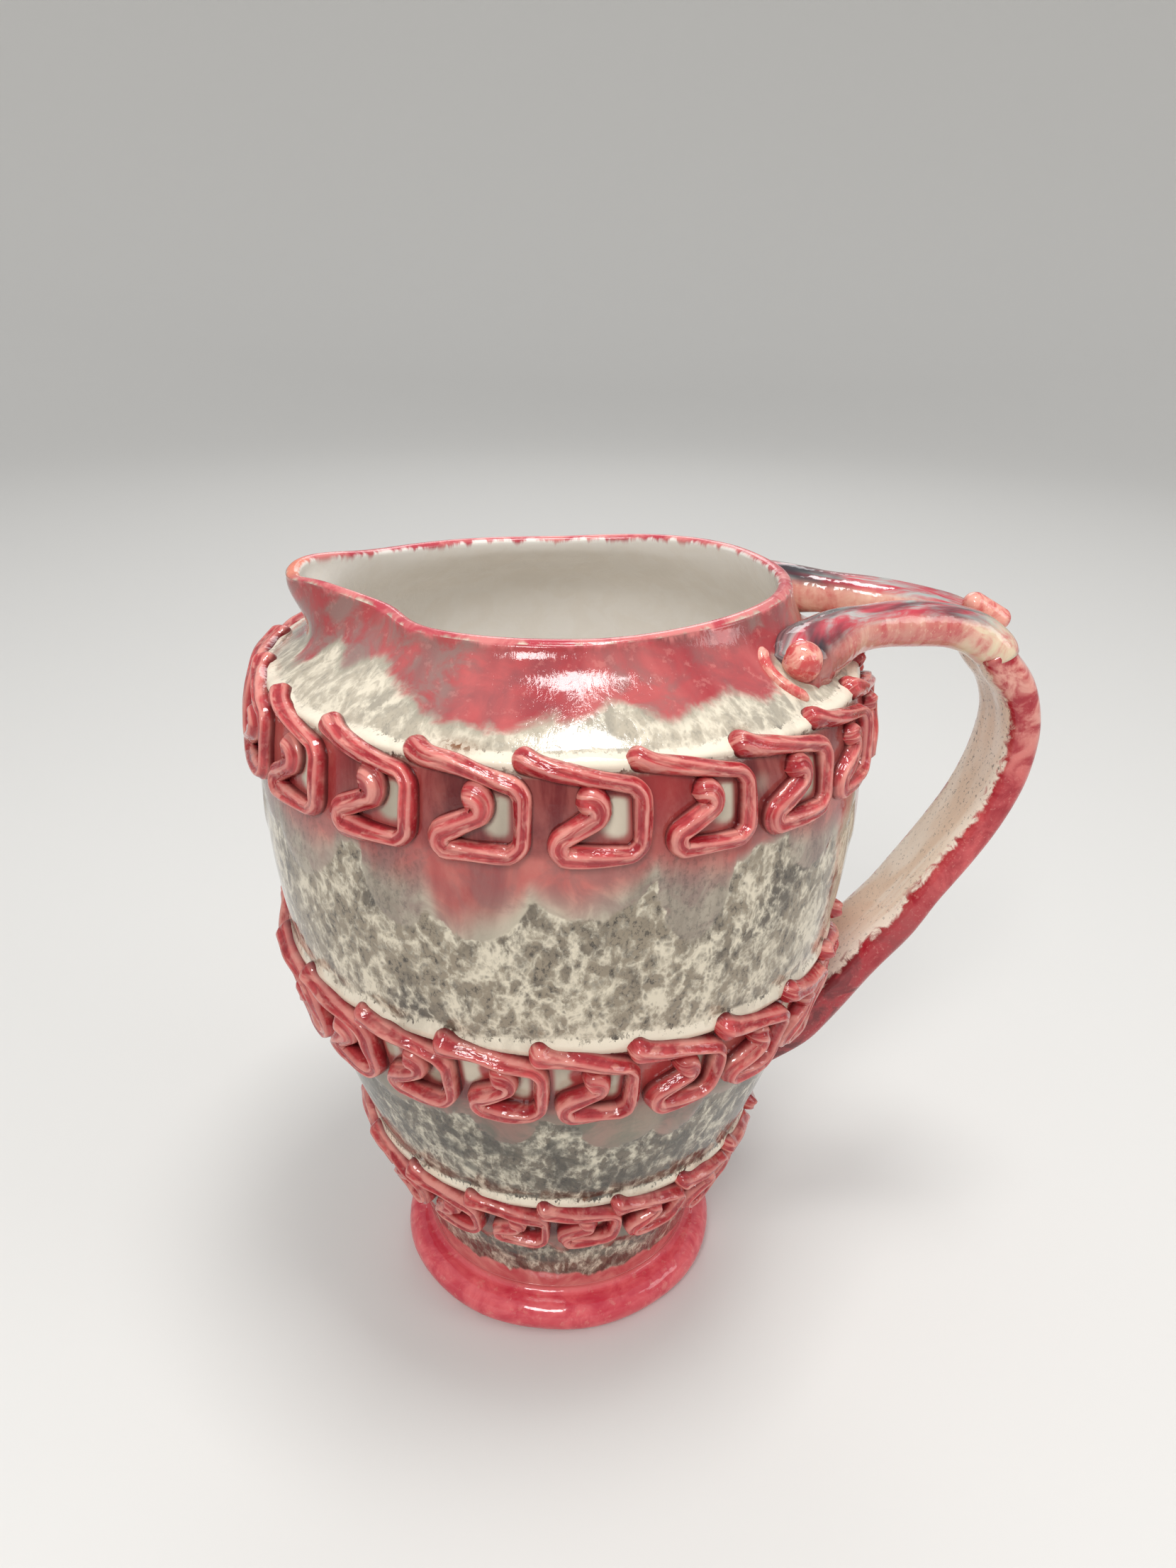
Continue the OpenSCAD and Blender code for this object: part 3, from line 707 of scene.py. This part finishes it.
band_nodes = {
    "upper": [f"upper_key_{i}" for i in range(1, 21)],
    "middle": [f"middle_key_{i}" for i in range(1, 22)],
    "lower": ["lower_keys"],
}
for name, band in bands.items():
    points, faces, ways, crests, rib_marks = [], [], [], [], []
    total = 0
    for index, path in enumerate(strokes[name]):
        width = band["width"] * band["drop"] * draw.uniform(0.95, 1.07)
        rings, way_along, crest, rib = trailed_cord(path, width, band["proud"], band["lift"], index)
        count, sides = rings.shape[:2]
        faces += [f[::-1] for f in closed_faces(count, sides, total)]
        points.append(rings.reshape(-1, 3))
        ways.append(way_along.reshape(-1, 3))
        crests.append(crest.ravel())
        rib_marks.append(rib.ravel())
        total += count * sides
    key_band = clay_piece(f"{name}_band", np.vstack(points), faces, {
        "stroke": np.vstack(ways), "crest": np.concatenate(crests), "rib": np.concatenate(rib_marks)})
    key_band.data.materials.append(key_glaze)
    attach(key_band, "root")
    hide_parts(*band_nodes[name])

# The handle's strap: pulled from a lump of clay, bent over from the crest and pressed on to the belly.
# Its inner face is cream with grey spatter, its edges are crimson, and a crease runs down from the fork.
strap_width, strap_thickness, strap_sunk = 26.0, 11.0, 0.5
fork = np.array([115.5, 197.3])
fork_lean = np.array([0.54, -0.84]) / math.hypot(0.54, 0.84)
strap_points = [fork, fork + 5.5 * fork_lean, (123.6, 186.3), (126.6, 178.3), (127.2, 170.3), (125.4, 159.3),
                (120.8, 147.3), (114.2, 135.8), (106.6, 124.3)]
tail_course = [(114.0, 26.8), (103.5, 20.6), (93.0, 15.4), (83.5, 11.2), (74.5, 7.4), (67.0, 4.0),
               (60.8, 1.2)]
for up, off in tail_course:
    strap_points.append((float(wall_radius(up)) + off, up))
strap_line = flowing(strap_points, 150)
strap_step = np.gradient(strap_line, axis=0)
strap_step /= np.linalg.norm(strap_step, axis=1)[:, None]
strap_step[0] = fork_lean
outward = np.column_stack([-strap_step[:, 1], strap_step[:, 0]])
strap_share = np.linspace(0, 1, len(strap_line))
swollen = smooth((strap_share - 0.5) / 0.28)
tapered = smooth((strap_share - 0.84) / 0.16)
hand = 1 + 0.02 * np.sin(strap_share * 34)
strap_thick = strap_thickness / 2 * (1 + 0.2 * swollen - 0.9 * tapered) * hand
hand = 1 + 0.015 * np.sin(strap_share * 23 + 1)
strap_wide = strap_width / 2 * (1 + 0.08 * swollen - 0.35 * tapered) * hand
strap_sides = 56
section = np.linspace(0, 2 * math.pi, strap_sides, endpoint=False)


def squared(x):
    """A round section made squarer, as a pulled strap is."""
    return np.sign(x) * np.abs(x) ** 0.6


reach = squared(np.cos(section))[None, :] * strap_thick[:, None]
swing = squared(np.sin(section))[None, :] * strap_wide[:, None]
crease = 2.2 * np.exp(-strap_share / 0.07)[:, None] * np.exp(-(swing / 3.5) ** 2)
reach = reach - np.sign(reach) * np.minimum(crease, np.abs(reach))
strap_r = strap_line[:, 0:1] + outward[:, 0:1] * reach
strap_z = strap_line[:, 1:2] + outward[:, 1:2] * reach
strap_turn = swing / strap_r
strap_r = np.maximum(strap_r, wall_radius(strap_z) - strap_sunk)
strap_mesh_points = about_axis(strap_r, strap_turn, strap_z)
strap_faces = closed_faces(len(strap_line), strap_sides)
strap_length = 0.18
strap_way = np.stack([np.repeat(strap_share[:, None], strap_sides, axis=1) * strap_length, swing * mm,
                      reach * mm], axis=-1)
inner_face = np.repeat(-squared(np.cos(section))[None, :], len(strap_line), axis=0)
strap_piece = clay_piece("handle_strap_piece", strap_mesh_points, strap_faces, {
    "strap_way": strap_way.reshape(-1, 3), "inner_face": inner_face.ravel(),
    "tail": np.repeat(strap_share, strap_sides)})
strap_glaze, tree, shader, place = glazed("strap glaze")
course = stretched(tree, mark(tree, "strap_way", "Vector"), (0.15, 1.0, 1.0))
cloud = use(tree, mottle, Place=place, Fineness=120.0)
spots = use(tree, mottle, Place=place, Fineness=260.0)
run_along = use(tree, streaks, Way=course, Fineness=230.0, Stretch=1.0)
face = use(tree, skin, Place=place, Swell=130.0)
edge_colour = lay(tree, cloud["Haze"], tint(160, 28, 42), tint(208, 86, 88))
edge_colour = lay(tree, spots["Fleck"], edge_colour, tint(226, 150, 140), 0.3)
dark_tail = times(tree, cloud["Cloud"], between(tree, mark(tree, "tail"), 0.4, 0.75, 0.0, 0.8))
edge_colour = lay(tree, dark_tail, edge_colour, tint(86, 18, 28))
near_fork = between(tree, mark(tree, "tail"), 0.3, 0.05, 0.0, 0.8)
edge_colour = lay(tree, near_fork, edge_colour, tint(232, 178, 160), cloud["Cloud"])
face_colour = lay(tree, run_along["Smear"], tint(250, 238, 220), tint(238, 214, 188))
spatter = times(tree, spots["Fleck"], between(tree, mark(tree, "tail"), 0.5, 0.15, 0.4, 0.9))
face_colour = lay(tree, spatter, face_colour, tint(96, 86, 82))
# Painted highlight: the strap's outer face is painted pale pink.
outer_face_highlight = between(tree, mark(tree, "inner_face"), -0.5, -0.9, 0.0, 0.6)
edge_colour = lay(tree, outer_face_highlight, edge_colour, tint(232, 176, 166), cloud["Haze"])
face_edge = add_share(tree, spots["Haze"], 0.24, mark(tree, "inner_face"))
strap_colour = lay(tree, between(tree, face_edge, 0.8, 0.98), edge_colour, face_colour)
close(tree, shader, strap_colour, face["Gloss"], face["Height"], 0.0009)
strap_piece.data.materials.append(strap_glaze)
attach(strap_piece, "root")
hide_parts("handle_strap")

# The two branches: rolled cords of clay that part at the crest and run to the shoulder on each side.
# Each swells where it is pressed on, and its glaze is mottled pink and cream with dark streaks on top.
branch_thickness, root_thickness, branch_sunk = 11.8, 17.5, 0.9
root_turn = math.radians(-35)
root_radius = float(wall_radius(shoulder[1] + 9)) + rim_oval * math.cos(root_turn) ** 2 * 0.1
root_x, root_y = root_radius * math.cos(root_turn), root_radius * math.sin(root_turn)
branch_reach = fork[0] - root_x
branch_shares = [(0.09, 0.19, 4.2), (0.21, 0.22, 6.8), (0.37, 0.29, 8.4), (0.54, 0.4, 9.4), (0.72, 0.57, 9.4),
                 (0.88, 0.81, 7.8), (0.97, 0.98, 6.6), (1.02, 1.13, 4.8)]
branch_points = [(fork[0] + 1.2, -strap_width / 4, fork[1] - 1.8), (fork[0], -strap_width / 4, fork[1])]
branch_points += [(fork[0] - a * branch_reach, root_y * b, fork[1] + c) for a, b, c in branch_shares]
branch_line = flowing(branch_points, 90)
branch_step = np.gradient(branch_line, axis=0)
branch_step /= np.linalg.norm(branch_step, axis=1)[:, None]
branch_side = np.cross(branch_step, [0, 0, 1])
branch_side /= np.linalg.norm(branch_side, axis=1)[:, None]
branch_up = np.cross(branch_side, branch_step)
branch_share = np.linspace(0, 1, len(branch_line))
swollen = smooth((branch_share - 0.55) / 0.35)
branch_thick = (branch_thickness + (root_thickness - branch_thickness) * swollen) / 2
hand = 1 + 0.02 * np.sin(branch_share * 21)
branch_thick = branch_thick * (1 - 0.2 * smooth((branch_share - 0.92) / 0.08)) * hand
branch_wide = branch_thick + (strap_width / 4 + 0.3 - branch_thick) * (1 - smooth(branch_share / 0.16))
branch_sides = 40
section = np.linspace(0, 2 * math.pi, branch_sides, endpoint=False)
branch_rings = (branch_line[:, None, :]
                - branch_side[:, None, :] * (branch_wide[:, None] * np.sin(section))[..., None]
                + branch_up[:, None, :] * (branch_thick[:, None] * np.cos(section))[..., None])
branch_faces = closed_faces(len(branch_line), branch_sides)
along, topside = np.meshgrid(branch_share, np.cos(section), indexing="ij")
flank = np.repeat(np.sin(section)[None, :], len(branch_line), axis=0)
branch_length, branch_round = 0.08, 0.006
branch_way = np.stack([along * branch_length, topside * branch_round, flank * branch_round], axis=-1)
branch_glaze, tree, shader, place = glazed("mottled branch glaze")
course = mark(tree, "branch_way", "Vector")
round_course = stretched(tree, course, (1.0, 0.25, 0.25))
rings_round = use(tree, streaks, Way=round_course, Fineness=240.0, Stretch=1.0)
top_course = stretched(tree, course, (0.2, 1.0, 1.0))
streak_top = use(tree, streaks, Way=top_course, Fineness=330.0, Stretch=1.0)
cloud = use(tree, mottle, Place=place, Fineness=170.0)
face = use(tree, skin, Place=place, Swell=160.0)
branch_colour = lay(tree, cloud["Haze"], tint(204, 92, 92), tint(236, 186, 164))
branch_colour = lay(tree, rings_round["Streak"], branch_colour, tint(240, 208, 182), 0.6)
branch_colour = lay(tree, rings_round["Smear"], branch_colour, tint(190, 66, 72), 0.5)
branch_colour = lay(tree, cloud["Fleck"], branch_colour, tint(232, 190, 166), 0.5)
at_crest = between(tree, mark(tree, "root"), 0.26, 0.12, 0.0, 0.75)
branch_colour = lay(tree, at_crest, branch_colour, tint(224, 214, 180), cloud["Cloud"])
at_root = between(tree, mark(tree, "root"), 0.7, 0.9)
root_colour = lay(tree, streak_top["Streak"], tint(176, 36, 48), tint(222, 134, 122))
root_colour = lay(tree, streak_top["Smear"], root_colour, tint(96, 44, 52), 0.55)
branch_colour = lay(tree, at_root, branch_colour, root_colour, 0.8)
over_top = between(tree, mark(tree, "topside"), 0.3, 0.72)
top_colour = lay(tree, streak_top["Streak"], tint(200, 62, 76), tint(180, 190, 184))
top_colour = lay(tree, streak_top["Smear"], top_colour, tint(44, 40, 46))
past_fork = between(tree, mark(tree, "root"), 0.0, 0.2, 0.1, 1.0)
branch_colour = lay(tree, over_top, branch_colour, top_colour, past_fork)
close(tree, shader, branch_colour, face["Gloss"], face["Height"], 0.0009)
for name, mirror in (("front_branch", 1), ("rear_branch", -1)):
    points = branch_rings * np.array([1, mirror, 1])
    branch_angle = np.degrees(np.arctan2(points[..., 1], points[..., 0]))
    branch_r = np.hypot(points[..., 0], points[..., 1])
    held = np.maximum(branch_r, wall_reach(points[..., 2], branch_angle) - branch_sunk) / branch_r
    points = points * np.stack([held, held, np.ones_like(held)], axis=-1) * mm
    faces = branch_faces if mirror > 0 else [f[::-1] for f in branch_faces]
    way_here = branch_way + [0, 0, 0.05 * (1 - mirror)]
    branch_piece = clay_piece(f"{name}_piece", points, faces, {
        "topside": topside.ravel(), "root": along.ravel(), "branch_way": way_here.reshape(-1, 3)})
    branch_piece.data.materials.append(branch_glaze)
    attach(branch_piece, "root")
    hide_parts(name)

# The thumb rest: a small roll of clay pressed into the fork, sloping down outwards.
# It is shaped between finger and thumb and glazed pink-red like the pellets.
thumb_radius, thumb_length, thumb_slope = 3.3, 8.3, math.radians(29)
bead_glaze, tree, shader, place = glazed("bead glaze")
cloud = use(tree, mottle, Place=place, Fineness=210.0)
face = use(tree, skin, Place=place, Swell=230.0)
bead_colour = lay(tree, cloud["Cloud"], tint(204, 84, 82), tint(238, 170, 152))
bead_colour = lay(tree, cloud["Fleck"], bead_colour, tint(238, 190, 166), 0.6)
close(tree, shader, bead_colour, face["Gloss"], face["Height"], 0.0007)


def pressed_roll(name, half_length, round_radius, place_matrix, flat):
    """A hand-pressed roll with round ends, flattened a little and dented by the fingers."""
    bends = np.radians(np.linspace(-90, 90, 34))
    sides = 40
    line = round_radius * np.column_stack([np.cos(bends), np.sin(bends)])
    line[:, 1] += np.sign(bends) * half_length
    angle = np.linspace(0, 2 * math.pi, sides, endpoint=False)
    dents = 1 + 0.035 * np.sin(2 * angle[None, :] + line[:, 1:2] * 0.5 + draw.uniform(0, 6)) \
        + 0.025 * np.cos(3 * angle[None, :] - line[:, 1:2] * 0.7 + draw.uniform(0, 6))
    points = np.stack([line[:, 0:1] * np.cos(angle) * dents * flat, line[:, 0:1] * np.sin(angle) * dents,
                       np.repeat(line[:, 1:2], sides, axis=1)], axis=-1)[1:-1]
    spun = points.reshape(-1, 3) @ np.array(place_matrix.to_3x3()).T + np.array(place_matrix.translation)
    roll = clay_piece(name, spun * mm, closed_faces(len(points), sides), {})
    roll.data.materials.append(bead_glaze)
    return roll


thumb_place = Matrix.Translation((fork[0] - 0.4, 0, fork[1] + branch_thickness / 2 + 2.4)) \
    @ Matrix.Rotation(math.pi / 2 + thumb_slope, 4, "Y")
thumb_piece = pressed_roll("thumb_rest_piece", thumb_length / 2, thumb_radius, thumb_place, 0.95)
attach(thumb_piece, "root")
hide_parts("thumb_rest")

# The pellets and ridges: a ball of clay pressed on at each branch's end, with a crescent drawn round it.
# They cover the joint on the shoulder, and carry the same pink-red glaze.
pellet_radius = 4.8
pellet_angle, pellet_foot = -40.5, 205.0
pellet_away = (pellet_radius + 1.4) / float(wall_radius(pellet_foot)) * 180 / math.pi
for name, mirror in (("front", 1), ("rear", -1)):
    low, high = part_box(f"{name}_pellet")
    pressed_in = np.array([1.8, 1.4 * mirror, -2.4])
    middle = np.array((low + high) / 2) / mm + pressed_in
    pellet_place = Matrix.Translation(middle.tolist()) @ Matrix.Rotation(0.7 * mirror, 4, "X")
    pellet = pressed_roll(f"{name}_pellet_piece", 0.25, pellet_radius, pellet_place, 1.0)
    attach(pellet, "root")
    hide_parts(f"{name}_pellet")
    bow_angles = np.radians(np.linspace(-62, 70, 40))
    crescent = np.column_stack([pellet_angle - pellet_away * np.cos(bow_angles),
                                pellet_foot - 0.5 + 5 * np.sin(bow_angles)])
    rings = trailed_cord(crescent, width=3.4, proud=1.5, lift=0.1, index=0, knob=0.0)[0]
    rings = rings * np.array([1, mirror, 1])
    faces = closed_faces(*rings.shape[:2])
    ridge = clay_piece(f"{name}_ridge_piece", rings, faces if mirror < 0 else [f[::-1] for f in faces], {})
    ridge.data.materials.append(bead_glaze)
    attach(ridge, "root")
    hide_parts(f"{name}_ridge")

# The studio: a pale table that curves up all round into a backdrop, lit by two soft boxes and two fills.
# The camera stands where the photograph was taken from, a little above the rim and in front.
table_line = np.vstack([[[20, 0], [400, 0], [1000, 0], [1600, 0]],
                        cubic((1600, 0), (2200, 0), (2400, 300), (2400, 1000), 16)[1:], [[2400, 1500]]])
table_turns = 96
table_angle = np.linspace(0, 2 * math.pi, table_turns, endpoint=False)
table_points = about_axis(table_line[:, 0:1], table_angle, table_line[:, 1:2])
table_faces = ring_faces(len(table_line), table_turns)
table_faces.append(list(range(table_turns)))
table = clay_piece("studio_table", table_points, table_faces, {})
table_paint = bpy.data.materials.new("matt table paint")
table_paint.use_nodes = True
paint = table_paint.node_tree.nodes["Principled BSDF"].inputs
paint["Base Color"].default_value = tint(222, 220, 216)
paint["Roughness"].default_value = 0.7
table.data.materials.append(table_paint)

world = bpy.data.worlds.new("studio air")
bpy.context.scene.world = world
world.use_nodes = True
air = world.node_tree.nodes["Background"].inputs
air["Color"].default_value = (0.95, 0.97, 1.0, 1.0)
air["Strength"].default_value = 0.58


def soft_box(name, spot, aim, size, power):
    """A square lamp that faces a point on the jug."""
    lamp = bpy.data.lights.new(name, "AREA")
    lamp.shape = "SQUARE"
    lamp.size = size
    lamp.energy = power
    holder = bpy.data.objects.new(name, lamp)
    holder.location = spot
    direction = Matrix.Translation(aim).translation - holder.location
    holder.rotation_euler = direction.to_track_quat("-Z", "Y").to_euler()
    bpy.context.scene.collection.objects.link(holder)


soft_box("front box", (-0.3, -0.95, 1.0), (0.0, 0.0, 0.15), size=0.36, power=7.0)
soft_box("top box", (0.1, -0.1, 1.35), (0.0, 0.0, 0.15), size=0.36, power=7.0)
soft_box("right fill", (1.2, -0.5, 0.7), (0.0, 0.0, 0.12), size=0.5, power=2.3)
soft_box("back fill", (0.2, 1.3, 1.0), (0.0, 0.0, 0.12), size=0.6, power=2.8)

camera_yaw, camera_pitch, camera_roll = (math.radians(a) for a in (1.42, 24.68, 0.95))
level_share = math.cos(camera_pitch)
ahead = np.array([math.sin(camera_yaw) * level_share, math.cos(camera_yaw) * level_share,
                  -math.sin(camera_pitch)])
rightward = np.array([math.cos(camera_yaw), -math.sin(camera_yaw), 0.0])
topward = np.cross(rightward, ahead)
rolled_right = math.cos(camera_roll) * rightward + math.sin(camera_roll) * topward
rolled_top = -math.sin(camera_roll) * rightward + math.cos(camera_roll) * topward
camera_data = bpy.data.cameras.new("view")
camera_data.sensor_fit = "VERTICAL"
film_height, focal_share = 36.0, 1661 / 2212
camera_data.sensor_height = film_height
camera_data.lens = film_height * focal_share
camera_data.clip_start = 0.01
camera = bpy.data.objects.new("view", camera_data)
camera_spot = (0.0, -0.297, 0.2945)
stand = Matrix([[rolled_right[i], rolled_top[i], -ahead[i], camera_spot[i]] for i in range(3)]
               + [[0, 0, 0, 1]])
round_jug = math.radians(-5)
camera.matrix_world = Matrix.Rotation(round_jug, 4, "Z") @ stand
bpy.context.scene.collection.objects.link(camera)
bpy.context.scene.camera = camera
bpy.context.scene.view_settings.view_transform = "Standard"
